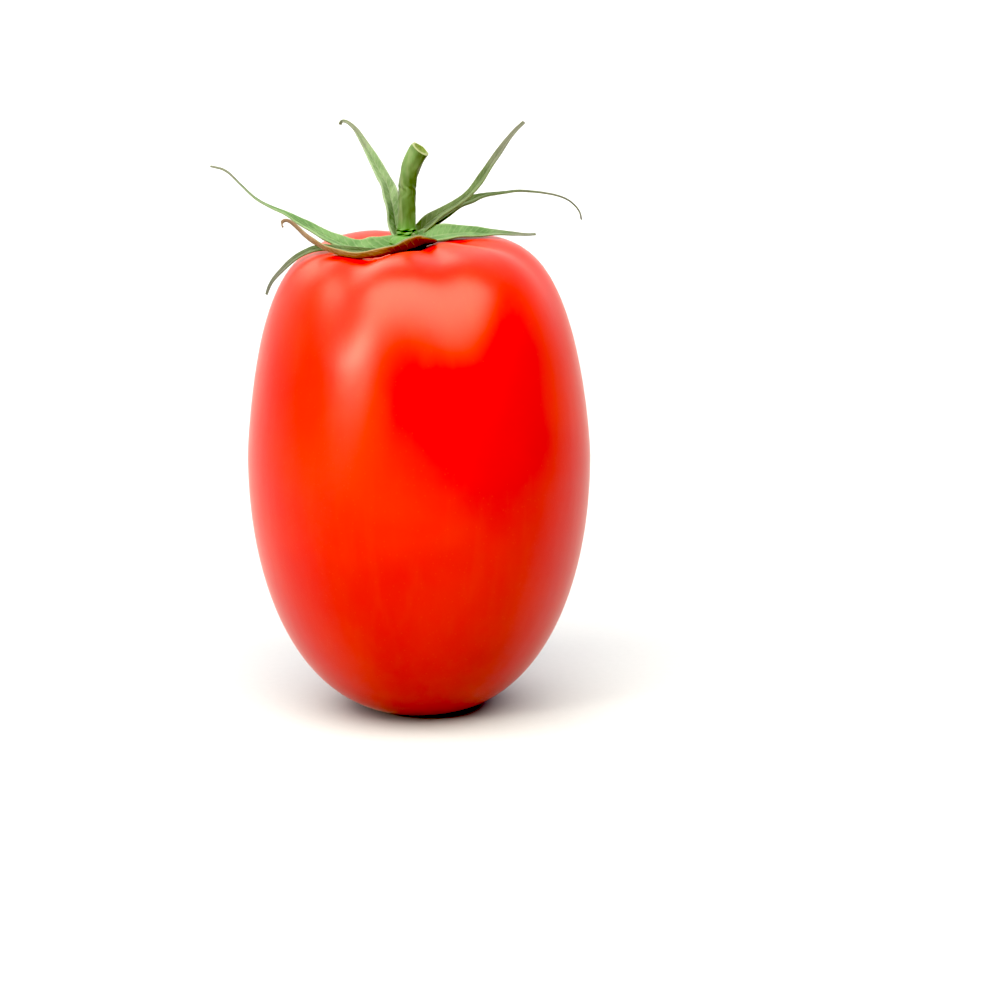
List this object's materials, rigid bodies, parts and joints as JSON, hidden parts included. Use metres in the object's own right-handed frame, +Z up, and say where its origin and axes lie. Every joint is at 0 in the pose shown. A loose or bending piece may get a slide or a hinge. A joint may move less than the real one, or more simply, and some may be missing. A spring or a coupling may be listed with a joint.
{
  "type": "tomato",
  "caption": "Upright plum tomato with an egg-shaped body, a shallow stem hollow, a star of narrow curling sepals and a short cut stem.",
  "frame": {"origin": "centre of the flat resting spot at the blossom end", "axes": "+Z up the fruit's axis towards the stem; +X to the right seen from the front, which looks along +Y"},
  "size_m": [0.0571, 0.0516, 0.0889],
  "materials": {
    "skin": "smooth waxy skin with a soft gloss",
    "stem": "matt, finely ridged and hairy",
    "sepal": "matt leafy green, dry grey tips"
  },
  "bodies": {
    "root": {"fruit": "skin", "stem": "stem", "sepal_back_left": "sepal", "sepal_back_right": "sepal", "sepal_right_arch": "sepal", "sepal_right_low": "sepal", "sepal_left_long": "sepal", "sepal_front_hook": "sepal", "sepal_left_droop": "sepal"}
  },
  "joints": []
}
